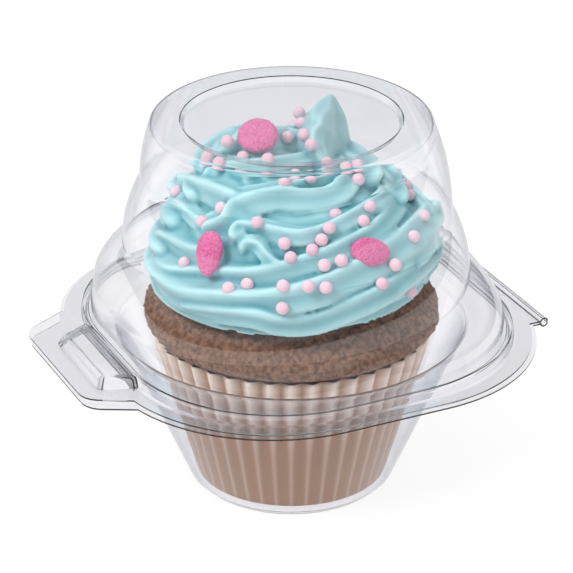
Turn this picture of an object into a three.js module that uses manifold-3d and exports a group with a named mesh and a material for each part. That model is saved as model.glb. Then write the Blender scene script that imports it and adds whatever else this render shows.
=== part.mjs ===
// Clear clamshell box for one cupcake, with the frosted cupcake it shows.
// Millimetres, +Z up. The origin is under the middle of the box, the hinge is on +Y, the tabs on -Y.
import * as THREE from 'three';
import { mergeVertices } from 'three/addons/utils/BufferGeometryUtils.js';
import Module from 'manifold-3d';

const wasm = await Module();
wasm.setup();

// Sheet, clearances and facets
const sheet = 0.4;
const gap = 0.3;
const columns = 60;

// Plan of the flange: a rounded square, pulled in a little on the tab side
const flangeHalf = 57.4;
const planCorner = 42.5;
const cornerShrink = 0.55;
const tabSideInset = 2.5;
const lidFlangeSetback = 1;

// Heights
const partingHeight = 42.3;
const overallHeight = 99.3;

// Seal ring, where the lid snaps over the base
const ringSetback = 5.4;
const ringHeight = 2.4;
const ringClearance = 0.45;
const ringDraft = 0.3;
const ringFoot = 0.3;
const ringEdge = 0.5;
const ledgeStep = 0.7;

// Base cup
const footRadius = 25.4;
const footLand = 3.6;
const pushUp = 1.6;
const cupFootFillet = 1.6;
const cupTopRadius = 44.5;

// Lid dome: a stepped swirl that opens out into a shoulder
const rimRadius = 35.7;
const rimFillet = 1.8;
const stackingRadius = 27.7;
const stackingDepth = 1.5;
const stackingDraft = 0.9;
const shoulderHalf = 50.4;
const shoulderCorner = planCorner - 3;
const shoulderHeight = 47.2;
const swirlStart = 65;
const swirlTurns = 3;
const swirlRows = 4;
const swirlGrowth = 4.8;
const swirlOverrun = 2.12866;
const swirlPower = 0.75;
const swirlFadeFrom = 2;
const swirlFadeTurns = 0.6;

// Closing tabs and the hollow lock boss on them
const tabReach = 9.7;
const tabTipHalf = 20;
const tabFlare = 7;
const tabCorner = 4;
const tabShift = 3.5;
const tabOverlap = 1.5;
const lidTabSetback = 0.6;
const bossTipHalf = 14;
const bossFlare = 4;
const bossReach = 9.8;
const bossHeight = 3.6;
const bossDraft = 1.6;

// Fold line and the half-round beads beside it
const hingeHalf = 28;
const beadRadius = 1.15;
const beadSteps = 8;

// Paper case
const pleats = 42;
const pleatDepth = 2.2;
const paper = 0.35;
const caseFootRadius = 25.2;
const caseFootFillet = 1.2;
const caseRimRadius = 35.4;
const caseHeight = 40.8;
const pleatStart = 5;

// Sponge cake
const cakeCrownRadius = 38.2;
const cakeCrownDrop = 4.6;
const cakeCrownRise = 18;
const cakeColumns = 36;

// Piped frosting
const frostingColumns = 54;
const frostingEdgeRadius = 35.8;
const frostingCreaseInset = 1.6;
const frostingEdgeRise = 10.5;
const frostingTilt = 2.4;
const frostingTiltTowards = 60;
const frostingHeadroom = 6.6;
const frostingRound = 2.3;
const frostingShoulder = 0.66;
const frostingTurns = 3;
const frostingRows = 5;
const frostingStart = 215;
const frostingBulge = 3.2;
const frostingFlutes = 12;
const fluteDepth = 0.7;
const frostingLean = [-5, -11];
const frostingLeanPower = 5;

// Leaf-shaped peak: rings from its foot to its tip, [x, y, depth under the lid's ceiling, half width]
const peakRings = [[-4, 5, 25.4, 9], [-6, 8, 10.4, 8], [-9.5, 12.2, 5.9, 6], [-13, 16, 2.8, 3.2], [-15.2, 18.2, 1.4, 0.9]];
const peakFlat = 0.62;
const peakTurn = -25;
const peakColumns = 20;
const seamTolerance = 0.05;

// Sugar decorations
const pearlRadius = 1.6;
const candyThickness = 3.4;
const approach = 55;
const focusRise = 12.4;

const rad = THREE.MathUtils.degToRad;
const lerp = THREE.MathUtils.lerp;
const clamp = THREE.MathUtils.clamp;

// Solid from a triangle list: coincident points are merged and triangles without area are dropped
function closedGeometry(points, triangles) {
  const loose = new THREE.BufferGeometry();
  loose.setAttribute('position', new THREE.Float32BufferAttribute(points.flat(), 3));
  loose.setIndex(triangles.flat());
  const merged = mergeVertices(loose, 1e-3);
  const index = merged.getIndex().array;
  const kept = [];
  for (let i = 0; i < index.length; i += 3) {
    const [a, b, c] = [index[i], index[i + 1], index[i + 2]];
    if (a !== b && b !== c && c !== a) kept.push(a, b, c);
  }
  merged.setIndex(kept);
  return merged;
}

function toSolid(geometry) {
  const bare = geometry.clone();
  bare.deleteAttribute('normal');
  bare.deleteAttribute('uv');
  const merged = mergeVertices(bare, 1e-4);
  return new wasm.Manifold(new wasm.Mesh({
    numProp: 3,
    vertProperties: new Float32Array(merged.getAttribute('position').array),
    triVerts: new Uint32Array(merged.getIndex().array),
  }));
}

function toGeometry(solid) {
  const mesh = solid.getMesh();
  const geometry = new THREE.BufferGeometry();
  geometry.setAttribute('position', new THREE.BufferAttribute(mesh.vertProperties, 3));
  geometry.setIndex(new THREE.BufferAttribute(mesh.triVerts, 1));
  return geometry;
}

// Distance from the centre to a rounded square of the given half width, along one direction
function planRadius(half, corner, angle) {
  const across = Math.abs(Math.cos(angle));
  const along = Math.abs(Math.sin(angle));
  const flat = half - corner;
  const inset = Math.sin(angle) < 0 ? tabSideInset : 0;
  const flatAlong = flat - inset;
  if (half * along <= flatAlong * across) return half / across;
  if ((half - inset) * across <= flat * along) return (half - inset) / along;
  const centreAlong = flat * across + flatAlong * along;
  const offset = flat * flat + flatAlong * flatAlong - corner * corner;
  return centreAlong + Math.sqrt(centreAlong * centreAlong - offset);
}

function ringRadius(setback, angle) {
  return planRadius(flangeHalf - setback, planCorner - setback * cornerShrink, angle);
}

// Moves a profile sideways by a sheet thickness; repeated points stay together
function offsetProfile(profile, distance) {
  return profile.map(([r, z], i) => {
    const same = (q) => Math.hypot(q[0] - r, q[1] - z) < 1e-6;
    const before = profile.slice(0, i).reverse().find((q) => !same(q));
    const after = profile.slice(i + 1).find((q) => !same(q));
    const steps = [];
    if (before) steps.push(new THREE.Vector2(r - before[0], z - before[1]).normalize());
    if (after) steps.push(new THREE.Vector2(after[0] - r, after[1] - z).normalize());
    const along = steps.reduce((sum, step) => sum.add(step), new THREE.Vector2()).normalize();
    const miter = distance / Math.max(0.5, along.dot(steps[0]));
    const moved = r + along.y * miter;
    return [i === 0 ? 0 : Math.max(0, moved), z - along.x * miter];
  });
}

// Thin shell: one face follows the profile from the axis to the outer edge, the other comes back
function sheetShell(profileAt, angles, thickness) {
  const loops = angles.map((angle) => {
    const face = profileAt(angle);
    const back = offsetProfile(face, thickness);
    back[back.length - 1] = [face.at(-1)[0], face.at(-1)[1] - thickness];
    const section = [...face, ...back.reverse()];
    return section.map(([r, z]) => [r * Math.cos(angle), r * Math.sin(angle), z]);
  });
  return loftedSections(loops);
}

// Joins meridian sections one after another, all the way round, into a closed geometry
function loftedSections(loops) {
  const rows = loops[0].length;
  const triangles = [];
  for (let i = 0; i + 1 < loops.length; i += 1) {
    for (let j = 0; j + 1 < rows; j += 1) {
      const a = i * rows + j;
      const b = a + rows;
      triangles.push([a, b + 1, b], [a, a + 1, b + 1]);
    }
  }
  return closedGeometry(loops.flat(), triangles);
}

// Angles all the way round; first and last are the same direction, one turn apart
function anglesFrom(start, count) {
  return Array.from({ length: count + 1 }, (_, i) => start + (i / count) * 2 * Math.PI);
}

// Swirl of the dome: a crease that winds down from the rim, one turn after another
const rimHeight = overallHeight - rimFillet;
const swirlDrop = (rimHeight - shoulderHeight + swirlOverrun) / swirlTurns ** swirlPower;

function creaseHeight(turn) {
  return Math.max(shoulderHeight, rimHeight - swirlDrop * turn ** swirlPower);
}

function bulgeBetween(upper, lower, t) {
  return [lerp(lower[0], upper[0], (1 - t) ** 2), lerp(upper[1], lower[1], t)];
}

function creasePoint(turn, above, foot) {
  const height = creaseHeight(turn);
  const wound = rimRadius + swirlGrowth * turn;
  const plainSpan = Math.max(1e-6, above[1] - foot[1]);
  const plain = bulgeBetween(above, foot, clamp((above[1] - height) / plainSpan, 0, 1))[0];
  const fade = THREE.MathUtils.smoothstep(turn, swirlFadeFrom, swirlFadeFrom + swirlFadeTurns);
  return [lerp(wound, plain, fade), height];
}

function swirlProfile(angle) {
  const wound = Math.max(0, (rad(swirlStart) - angle) / (2 * Math.PI));
  const foot = [planRadius(shoulderHalf, shoulderCorner, angle), shoulderHeight];
  const corners = [[rimRadius, rimHeight]];
  for (let k = 0; k < swirlTurns; k += 1) {
    corners.push(creasePoint(wound + k, corners[k], foot));
  }
  corners.push(foot);
  const profile = [corners[0]];
  for (let k = 0; k + 1 < corners.length; k += 1) {
    for (let j = 1; j <= swirlRows; j += 1) {
      profile.push(bulgeBetween(corners[k], corners[k + 1], j / swirlRows));
    }
  }
  return profile;
}

// Outer face of the lid, from the middle of the top to the edge of the flange
function lidProfile(angle) {
  const discHeight = overallHeight - stackingDepth;
  const ledge = partingHeight + gap / 2 + sheet + ringHeight + gap;
  const flangeTop = partingHeight + gap / 2 + sheet;
  const ringTop = ringRadius(ringSetback + ringDraft - sheet, angle);
  return [
    [0, discHeight],
    [stackingRadius - stackingDraft, discHeight],
    [stackingRadius, overallHeight],
    [rimRadius - rimFillet, overallHeight],
    [rimRadius - rimFillet * 0.3, overallHeight - rimFillet * 0.3],
    ...swirlProfile(angle),
    [planRadius(shoulderHalf, shoulderCorner, angle), ledge + ledgeStep],
    [ringTop, ledge],
    [ringRadius(ringSetback - sheet, angle), flangeTop + ringFoot],
    [ringRadius(ringSetback - sheet - ringEdge, angle), flangeTop],
    [ringRadius(lidFlangeSetback, angle), flangeTop],
  ];
}

// Upper face of the base, from the middle of the floor to the edge of the flange
function trayProfile(angle) {
  const flangeTop = partingHeight - gap / 2;
  const ringTop = flangeTop + ringHeight;
  const setback = ringSetback + ringClearance;
  const wallFoot = footRadius + cupFootFillet;
  return [
    [0, pushUp + sheet],
    [footRadius - footLand - pushUp, pushUp + sheet],
    [footRadius - footLand, sheet],
    [footRadius - sheet, sheet],
    [wallFoot - sheet, sheet + cupFootFillet],
    [lerp(wallFoot, cupTopRadius, 0.5), lerp(cupFootFillet, ringTop, 0.5)],
    [cupTopRadius, ringTop - 0.6],
    [cupTopRadius + 0.9, ringTop],
    [ringRadius(setback + ringDraft + ringEdge, angle), ringTop],
    [ringRadius(setback + ringDraft, angle), ringTop - ringEdge],
    [ringRadius(setback, angle), flangeTop + ringFoot],
    [ringRadius(setback - ringEdge, angle), flangeTop],
    [ringRadius(0, angle), flangeTop],
  ];
}

const tabTip = flangeHalf - tabSideInset + tabReach;

// Trapezoid in plan: root on the flange, tip towards -Y, with rounded corners at the tip
function tabOutline(rootHalf, tipHalf, root, tip, corner, shift) {
  const shape = new THREE.Shape();
  const side = new THREE.Vector2(tipHalf - rootHalf, tip - root).normalize();
  const inward = (sign) => [shift + sign * (tipHalf - side.x * corner), tip - side.y * corner];
  shape.moveTo(shift + rootHalf, root);
  shape.lineTo(...inward(1));
  shape.quadraticCurveTo(shift + tipHalf, tip, shift + tipHalf - corner, tip);
  shape.lineTo(shift - tipHalf + corner, tip);
  shape.quadraticCurveTo(shift - tipHalf, tip, ...inward(-1));
  shape.lineTo(shift - rootHalf, root);
  return shape;
}

function plate(shape, bottom, thickness) {
  const geometry = new THREE.ExtrudeGeometry(shape, { depth: thickness, bevelEnabled: false, curveSegments: 5 });
  geometry.translate(0, 0, bottom);
  return toSolid(geometry);
}

function tabPlate(bottom, shift, setback) {
  const root = -(flangeHalf - tabSideInset - ringSetback + tabOverlap);
  const tip = -(tabTip - setback);
  const outline = tabOutline(tabTipHalf + tabFlare, tabTipHalf, root, tip, tabCorner, shift);
  return plate(outline, bottom, sheet);
}

// Drafted block of the lock boss, smaller at its top; inset is the sheet or the clearance inside it
function bossBlock(bottom, top, inset) {
  const wall = -(flangeHalf - tabSideInset - ringSetback + sheet / 2);
  const root = wall - inset;
  const tip = wall - bossReach + inset;
  const at = (height) => {
    const draft = bossDraft * (height - partingHeight) / bossHeight + inset;
    const rootHalf = bossTipHalf + bossFlare - draft;
    const tipHalf = bossTipHalf - draft;
    return [
      [rootHalf, root, height], [tipHalf, tip + draft, height],
      [-tipHalf, tip + draft, height], [-rootHalf, root, height],
    ];
  };
  return hullBlock([at(bottom), at(top)]);
}

function hullBlock(rings) {
  const points = rings.flat();
  const count = rings[0].length;
  const last = points.length - count;
  const triangles = [];
  for (let row = 0; row < last; row += count) {
    for (let i = 0; i < count; i += 1) {
      const [a, b] = [row + i, row + (i + 1) % count];
      triangles.push([a, b + count, b], [a, a + count, b + count]);
    }
  }
  for (let i = 1; i + 1 < count; i += 1) {
    triangles.push([0, i, i + 1], [last, last + i + 1, last + i]);
  }
  return toSolid(closedGeometry(points, triangles));
}

// Leaf beside the fold line: flat sheet that ends in a half-round bead, above or below the parting plane
function hingeLeaf(side) {
  const face = side * gap / 2;
  const start = flangeHalf - lidFlangeSetback - 2;
  const middle = flangeHalf + beadRadius;
  const arch = (radius, from, to) => Array.from({ length: beadSteps + 1 }, (_, i) => {
    const turn = lerp(from, to, i / beadSteps);
    return [middle + radius * Math.cos(turn), face + side * radius * Math.sin(turn)];
  });
  const lower = [[start, face], ...arch(beadRadius - sheet, Math.PI, 0)];
  const upper = [...arch(beadRadius, 0, Math.PI), [start, face + side * sheet]];
  upper.splice(-2, 1, [middle - beadRadius, face + side * sheet]);
  const shape = new THREE.Shape([...lower, ...upper].map(([y, z]) => new THREE.Vector2(y, z)));
  const geometry = new THREE.ExtrudeGeometry(shape, { depth: 2 * hingeHalf, bevelEnabled: false });
  const turn = new THREE.Matrix4().makeBasis(
    new THREE.Vector3(0, 1, 0), new THREE.Vector3(0, 0, 1), new THREE.Vector3(1, 0, 0),
  );
  geometry.applyMatrix4(turn);
  geometry.translate(-hingeHalf, 0, partingHeight);
  return toSolid(geometry);
}

function baseTray() {
  const shell = toSolid(sheetShell(trayProfile, anglesFrom(0, columns), sheet));
  const flangeTop = partingHeight - gap / 2;
  const bottom = flangeTop - sheet;
  const lockTop = partingHeight + bossHeight - sheet - gap;
  const boss = bossBlock(bottom, lockTop, sheet + gap);
  const hollow = bossBlock(bottom - 1, lockTop - sheet, 2 * sheet + gap);
  return toGeometry(shell.add(tabPlate(bottom, 0, 0)).add(hingeLeaf(-1)).add(boss).subtract(hollow));
}

function lidDome() {
  const angles = anglesFrom(rad(swirlStart) - 2 * Math.PI, columns);
  const shell = toSolid(sheetShell(lidProfile, angles, sheet));
  const bottom = partingHeight + gap / 2;
  const boss = bossBlock(bottom, partingHeight + bossHeight, 0);
  const hollow = bossBlock(bottom - 1, partingHeight + bossHeight - sheet, sheet);
  return toGeometry(shell.add(tabPlate(bottom, -tabShift, lidTabSetback)).add(hingeLeaf(1)).add(boss).subtract(hollow));
}

// Paper case: a pleated cup, folded in and out all the way round
const caseBottom = pushUp + sheet + gap;
const caseTop = caseBottom + caseHeight;

function caseWallRadius(height) {
  return lerp(caseFootRadius, caseRimRadius, (height - caseBottom) / caseHeight);
}

function pleatSwing(height) {
  return pleatDepth / 2 * clamp((height - caseBottom) / (caseHeight - pleatStart), 0, 1);
}

function caseProfile(angle) {
  const fold = Math.round(angle / (Math.PI / pleats)) % 2 ? 1 : -1;
  const wall = (height) => [caseWallRadius(height) + fold * pleatSwing(height), height];
  return [
    [0, caseBottom + paper],
    [caseFootRadius - caseFootFillet - paper, caseBottom + paper],
    [caseFootRadius - paper, caseBottom + caseFootFillet],
    wall(caseBottom + pleatStart),
    wall(caseBottom + caseHeight / 2),
    wall(caseTop),
  ];
}

function paperCase() {
  const loops = anglesFrom(0, 2 * pleats).map((angle) => {
    const face = caseProfile(angle);
    const back = offsetProfile(face, paper);
    back[0][1] = caseBottom;
    const section = [...face, ...back.reverse()];
    return section.map(([r, z]) => [r * Math.cos(angle), r * Math.sin(angle), z]);
  });
  return loftedSections(loops);
}

// Sponge cake: fills the case and crowns over its rim
const cakeBottom = caseBottom + paper + gap;
const crownHeight = caseTop + cakeCrownDrop;

function cakeInCase(height) {
  return caseWallRadius(height) - pleatSwing(height) - gap - paper;
}

function crownTopHeight(radius) {
  const share = clamp(radius / cakeCrownRadius, 0, 1);
  return crownHeight + (caseTop + cakeCrownRise - crownHeight) * (1 - share ** 2.6) ** 0.8;
}

const crownShares = [0, 0.35, 0.6, 0.78, 0.9, 0.97, 1];

function cakeProfile() {
  const neck = cakeInCase(caseTop);
  const bulge = cakeCrownRadius - neck;
  const under = caseTop + 2 * gap;
  const profile = [
    [0, cakeBottom],
    [caseFootRadius - caseFootFillet - 2 * gap - paper, cakeBottom],
    [cakeInCase(cakeBottom + caseFootFillet + 1), cakeBottom + caseFootFillet + 1],
    [neck, caseTop + gap / 2],
    [neck + bulge * 0.45, under],
    [neck + bulge * 0.9, lerp(under, crownHeight, 0.35)],
  ];
  const crown = crownShares.map((share) => {
    const radius = cakeCrownRadius * share;
    return [radius, crownTopHeight(radius)];
  });
  return [...profile, ...crown.reverse()];
}

function spongeCake() {
  const profile = cakeProfile().reverse();
  return loftedSections(anglesFrom(0, cakeColumns).map((angle) => (
    profile.map(([r, z]) => [r * Math.cos(angle), r * Math.sin(angle), z])
  )));
}

// Frosting: one rope piped in a rising swirl that ends in a leaning peak
const frostingEdge = caseTop + frostingEdgeRise;
const ceiling = overallHeight - stackingDepth - sheet;
const frostingTop = ceiling - frostingHeadroom;
const frostingHeight = frostingTop - frostingEdge;

function edgeHeight(angle) {
  return frostingEdge + frostingTilt * Math.cos(angle - rad(frostingTiltTowards));
}

function ropeCrease(turn, angle) {
  const share = clamp(turn / frostingTurns, 0, 1);
  const round = frostingEdgeRadius * (1 - share ** frostingRound) ** frostingShoulder;
  const radius = Math.max(0, round - frostingCreaseInset * Math.min(1, 3 * share));
  return [radius, lerp(edgeHeight(angle), frostingTop, share)];
}

function frostingFace(angle, wound) {
  const corners = [[frostingEdgeRadius, edgeHeight(angle)]];
  for (let k = 0; k < frostingTurns; k += 1) corners.push(ropeCrease(wound + k, angle));
  corners.push([0, frostingTop]);
  const profile = [corners[0]];
  for (let k = 0; k + 1 < corners.length; k += 1) {
    const [low, high] = [corners[k], corners[k + 1]];
    const span = Math.hypot(high[0] - low[0], high[1] - low[1]);
    for (let j = 1; j <= frostingRows; j += 1) {
      const t = j / frostingRows;
      const flute = fluteDepth * Math.cos(frostingFlutes * angle + 2 * Math.PI * t) * Math.min(1, span / 8);
      const swell = Math.sin(Math.PI * t) ** 0.8 * (frostingBulge * Math.min(1, span / 14) + flute);
      const out = new THREE.Vector2(high[1] - low[1], low[0] - high[0]).normalize();
      const radius = lerp(low[0], high[0], t) + out.x * swell;
      profile.push([Math.max(0, radius), lerp(low[1], high[1], t) + out.y * swell * 0.6]);
    }
  }
  return profile;
}

function leanAt(height) {
  const share = clamp((height - frostingEdge) / frostingHeight, 0, 1) ** frostingLeanPower;
  return [frostingLean[0] * share, frostingLean[1] * share];
}

function frostingSection(angle, wound) {
  const under = crownShares.slice(0, 5).map((share) => {
    const radius = cakeCrownRadius * share;
    return [radius, crownTopHeight(radius) + gap + 0.1];
  });
  const seat = crownTopHeight(frostingEdgeRadius) + 2 * gap;
  const lip = [frostingEdgeRadius - 0.6, Math.max(edgeHeight(angle) - 1.6, seat)];
  const section = [...frostingFace(angle, wound).reverse(), lip, ...under.reverse()];
  return section.map(([r, z]) => {
    const [leanX, leanY] = leanAt(z);
    return [r * Math.cos(angle) + leanX, r * Math.sin(angle) + leanY, z];
  });
}

// Flattened cone, bent back from its foot to its tip
function peak() {
  const rings = peakRings.map(([x, y, depth, half]) => (
    Array.from({ length: peakColumns }, (_, i) => {
      const angle = (i / peakColumns) * 2 * Math.PI;
      const along = new THREE.Vector2(half * Math.cos(angle), half * peakFlat * Math.sin(angle));
      along.rotateAround(new THREE.Vector2(), rad(peakTurn));
      return [x + along.x, y + along.y, ceiling - depth];
    })
  ));
  return hullBlock(rings.map((ring) => ring.reverse()));
}

function frosting() {
  const start = rad(frostingStart);
  const swirl = loftedSections(anglesFrom(start, frostingColumns).map((angle) => (
    frostingSection(angle, (angle - start) / (2 * Math.PI))
  )));
  return toGeometry(toSolid(swirl).add(peak()).simplify(seamTolerance));
}

// Sugar decorations: each comes in towards the axis until it rests on the frosting
function facesOf(geometry) {
  const position = geometry.getAttribute('position');
  const index = geometry.getIndex();
  const corner = (i) => new THREE.Vector3().fromBufferAttribute(position, index.getX(i));
  return Array.from({ length: index.count / 3 }, (_, i) => (
    new THREE.Triangle(corner(3 * i), corner(3 * i + 1), corner(3 * i + 2))
  ));
}

function clearanceTo(faces, point) {
  const nearest = new THREE.Vector3();
  let least = Infinity;
  for (const face of faces) {
    least = Math.min(least, face.closestPointToPoint(point, nearest).distanceTo(point));
  }
  return least;
}

function restOn(faces, probes, reach, direction, start) {
  const place = start.clone();
  for (let i = 0; i < 40; i += 1) {
    const room = Math.min(...probes.map((probe) => clearanceTo(faces, probe.clone().add(place)))) - reach - gap;
    if (room < 0.01) break;
    place.addScaledVector(direction, -room);
  }
  return place;
}

function outwards(angle, tilt) {
  const level = Math.cos(rad(tilt));
  return new THREE.Vector3(level * Math.cos(rad(angle)), level * Math.sin(rad(angle)), Math.sin(rad(tilt)));
}

function pearl(faces, [angle, tilt]) {
  const direction = outwards(angle, tilt);
  const start = new THREE.Vector3(0, 0, frostingEdge + focusRise).addScaledVector(direction, approach);
  const place = restOn(faces, [new THREE.Vector3()], pearlRadius, direction, start);
  return new THREE.SphereGeometry(pearlRadius, 7, 5).translate(...place.toArray());
}

function candy(faces, { length, width, taper, at, face, roll }) {
  const direction = outwards(...face);
  const geometry = new THREE.SphereGeometry(0.5, 14, 8);
  const position = geometry.getAttribute('position');
  for (let i = 0; i < position.count; i += 1) {
    const narrow = 1 - taper * (position.getX(i) + 0.5);
    position.setXYZ(i, position.getX(i) * length, position.getY(i) * width * narrow,
      position.getZ(i) * candyThickness);
  }
  geometry.rotateZ(rad(roll));
  geometry.applyQuaternion(new THREE.Quaternion().setFromUnitVectors(new THREE.Vector3(0, 0, 1), direction));
  const probes = Array.from({ length: position.count }, (_, i) => new THREE.Vector3().fromBufferAttribute(position, i));
  const start = new THREE.Vector3(at[0], at[1], frostingEdge + at[2]).addScaledVector(direction, 2 * length);
  const place = restOn(faces, probes, 0, direction, start);
  return geometry.translate(...place.toArray());
}

// Each candy: a point [x, y, rise over the frosting's edge], and the way it faces: angle round the axis, tilt upwards
const candies = {
  candy_disc: { length: 10.4, width: 10, taper: 0, at: [-6, -6, 35.4], face: [-35, 62], roll: 0 },
  candy_drop: { length: 11, width: 6.6, taper: 0.3, at: [13, -27.5, 19.4], face: [-55, 22], roll: -90 },
  candy_oval: { length: 10.6, width: 7.6, taper: 0.15, at: [29, 6.5, 19.4], face: [8, 32], roll: 80 },
};

// Each pearl: angle round the axis and tilt upwards, in degrees, seen from the focus
const pearls = [
  [152, 49], [160, 66], [147, 57], [-126, 57], [141, 68], [128, 75], [-84, 61], [94, 77],
  [-60, 68], [-123, 45], [-93, 51], [46, 67], [67, 50], [55, 56], [-3, 61], [-21, 62],
  [-32, 56], [44, 47], [86, 16], [-121, 22], [78, 16], [28, 33], [-71, 34], [1, 35],
  [62, 12], [15, 28], [-76, 25], [-45, 32], [-5, 29], [-11, 24], [40, 12], [-29, 23],
  [-16, 20], [-26, 17], [-3, 14], [-78, 5], [21, 7], [-11, 13], [-12, 5], [11, 3],
  [-44, 5], [-29, 6], [-19, 6], [-51, 3], [27, -6], [-29, -2], [150, 38], [175, 52],
  [-170, 22], [140, 12],
];

const finishes = {
  clear: { color: 0xe6e8ee, roughness: 0.06, metalness: 0, transparent: true, opacity: 0.3 },
  paper: { color: 0xd8b9a8, roughness: 0.85, metalness: 0 },
  sponge: { color: 0x8a6450, roughness: 0.95, metalness: 0 },
  icing: { color: 0x8fd6da, roughness: 0.45, metalness: 0 },
  candy: { color: 0xf078ae, roughness: 0.8, metalness: 0 },
  pearl: { color: 0xf6bccb, roughness: 0.4, metalness: 0 },
};

function part(name, geometry, finish) {
  const mesh = new THREE.Mesh(geometry, new THREE.MeshStandardMaterial(finishes[finish]));
  mesh.name = name;
  return mesh;
}

const box = new THREE.Group();
box.add(part('base_tray', baseTray(), 'clear'));
box.add(part('lid_dome', lidDome(), 'clear'));

const cupcake = new THREE.Group();
cupcake.add(part('paper_case', paperCase(), 'paper'));
cupcake.add(part('sponge_cake', spongeCake(), 'sponge'));
const icing = frosting();
const icingFaces = facesOf(icing);
cupcake.add(part('frosting', icing, 'icing'));
Object.entries(candies).forEach(([name, size]) => cupcake.add(part(name, candy(icingFaces, size), 'candy')));
pearls.forEach((place, i) => {
  cupcake.add(part(`pearl_${String(i + 1).padStart(2, '0')}`, pearl(icingFaces, place), 'pearl'));
});
box.add(cupcake);

// The cup is not in the middle of the footprint: the tab reaches further out than the hinge
const hingeEnd = flangeHalf + 2 * beadRadius;
box.position.y = (tabTip - hingeEnd) / 2;

export default box;
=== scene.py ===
"""A clear clamshell box with one frosted cupcake in it, photographed on white.

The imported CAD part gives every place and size. Lengths below are millimetres in
the part's own axes, with the cup axis at x = y = 0, unless a name says metres.
"""

import logging
import math
from dataclasses import dataclass
from enum import Enum
from typing import Callable, Sequence

import bmesh
import bpy
import numpy as np
from mathutils import Matrix, Vector, noise
from mathutils.bvhtree import BVHTree


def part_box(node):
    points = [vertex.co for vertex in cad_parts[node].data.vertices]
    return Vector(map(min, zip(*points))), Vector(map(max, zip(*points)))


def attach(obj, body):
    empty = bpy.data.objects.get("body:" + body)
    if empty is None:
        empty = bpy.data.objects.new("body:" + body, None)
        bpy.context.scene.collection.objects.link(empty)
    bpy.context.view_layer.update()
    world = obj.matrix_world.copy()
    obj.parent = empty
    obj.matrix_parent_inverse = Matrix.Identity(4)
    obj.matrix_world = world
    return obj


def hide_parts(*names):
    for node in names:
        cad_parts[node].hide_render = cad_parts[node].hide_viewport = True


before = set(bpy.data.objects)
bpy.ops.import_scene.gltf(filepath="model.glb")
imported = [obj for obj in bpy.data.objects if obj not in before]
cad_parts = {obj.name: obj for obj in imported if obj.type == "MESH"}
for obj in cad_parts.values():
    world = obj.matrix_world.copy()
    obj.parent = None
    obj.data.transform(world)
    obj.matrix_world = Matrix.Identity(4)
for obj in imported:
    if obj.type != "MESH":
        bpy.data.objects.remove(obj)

log = logging.getLogger("cupcake_box")

# Inputs of a shader node by name or number, each with its value or the output that feeds it
Sockets = dict[str | int, object]
Profile = list[tuple[float, float]]
Path = Sequence[tuple[float, float, float, float]]

MM = 0.001
AXIS_SHIFT = 2.45

# Camera, fitted to the photograph, in metres
CAMERA_PLACE = (0.5813, -0.2765, 0.3709)
CAMERA_TARGET = (-0.00055, 0.0013, 0.05248)
CAMERA_FIELD = 11.62

# Sheet and flange
SHEET = 0.4
GAP = 0.3
FLANGE_HALF = 57.4
PLAN_CORNER = 42.5
CORNER_SHRINK = 0.55
TAB_SIDE_INSET = 2.5
LID_SETBACK = 1.0
PARTING = 42.3
OVERALL = 99.3

# Seal ring
RING_SETBACK = 5.4
RING_HEIGHT = 2.4
RING_CLEARANCE = 0.45
RING_DRAFT = 0.3
RING_FOOT = 0.3
RING_EDGE = 0.5
LEDGE_STEP = 0.7

# Cup of the base
FOOT_RADIUS = 25.4
FOOT_LAND = 3.6
PUSH_UP = 1.6
CUP_FOOT_FILLET = 1.6
CUP_TOP_RADIUS = 44.5
CUP_LIP_DROP = 0.6
CUP_LIP_RUN = 0.9

# Dome of the lid
RIM_RADIUS = 35.7
RIM_FILLET = 1.8
STACKING_RADIUS = 27.7
STACKING_DEPTH = 1.5
STACKING_DRAFT = 0.9
SHOULDER_HALF = 50.4
SHOULDER_CORNER_INSET = 3.0
SHOULDER_CORNER = PLAN_CORNER - SHOULDER_CORNER_INSET
SHOULDER_HEIGHT = 47.2
SWIRL_START = 65.0
SWIRL_TURNS = 3
SWIRL_GROWTH = 4.8
SWIRL_DROP = 23.0
SWIRL_POWER = 0.75
SWIRL_FADE_FROM = 2.0
SWIRL_FADE_TURNS = 0.6

# Tabs and lock boss
TAB_REACH = 9.7
TAB_TIP_HALF = 20.0
TAB_FLARE = 7.0
TAB_CORNER = 4.0
TAB_SHIFT = 3.5
TAB_OVERLAP = 1.5
LID_TAB_SETBACK = 0.6
BOSS_TIP_HALF = 14.0
BOSS_FLARE = 4.0
BOSS_REACH = 9.8
BOSS_HEIGHT = 3.6
BOSS_DRAFT = 1.6
BASE_BOSS_ROUNDING = 0.7
LID_BOSS_ROUNDING = 0.9
HOLLOW_ROUNDING_LOSS = 0.2
BASE_HOLLOW_OVERRUN = 1.5
LID_HOLLOW_OVERRUN = 1.0

# Fold line
HINGE_HALF = 28.0
BEAD_RADIUS = 1.15
LEAF_OVERLAP = 2.0

# Cupcake
PLEATS = 42
PLEAT_DEPTH = 2.2
PLEAT_START = 5.0
PAPER = 0.35
CASE_BOTTOM = PUSH_UP + SHEET + GAP
CASE_HEIGHT = 40.8
CASE_TOP = CASE_BOTTOM + CASE_HEIGHT
CASE_FOOT_RADIUS = 25.2
CASE_RIM_RADIUS = 35.4
CROWN_RADIUS = 38.2
CROWN_DROP = 4.6
CROWN_RISE = 18.0
FROSTING_EDGE = CASE_TOP + 10.5
FROSTING_CEILING = 96.6
PEARL_RADIUS = 1.6

# Light: share of the sky in diffuse light, the ground, and the reflected bands by height
DIFFUSE_SKY = 0.42
SKY_COOLNESS = 1.02
SKY_BANDS = (
    (0.0, 0.5), (0.46, 0.5), (0.5, 0.12), (0.57, 0.2), (0.63, 0.75), (0.76, 0.3), (0.84, 0.9), (1.0, 0.45)
)
GROUND_GLOW = 0.9
GROUND_SHADE = 0.12


class Body(str, Enum):
    """CAD body that a piece moves with."""

    BASE = "base"
    LID = "lid"


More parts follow.
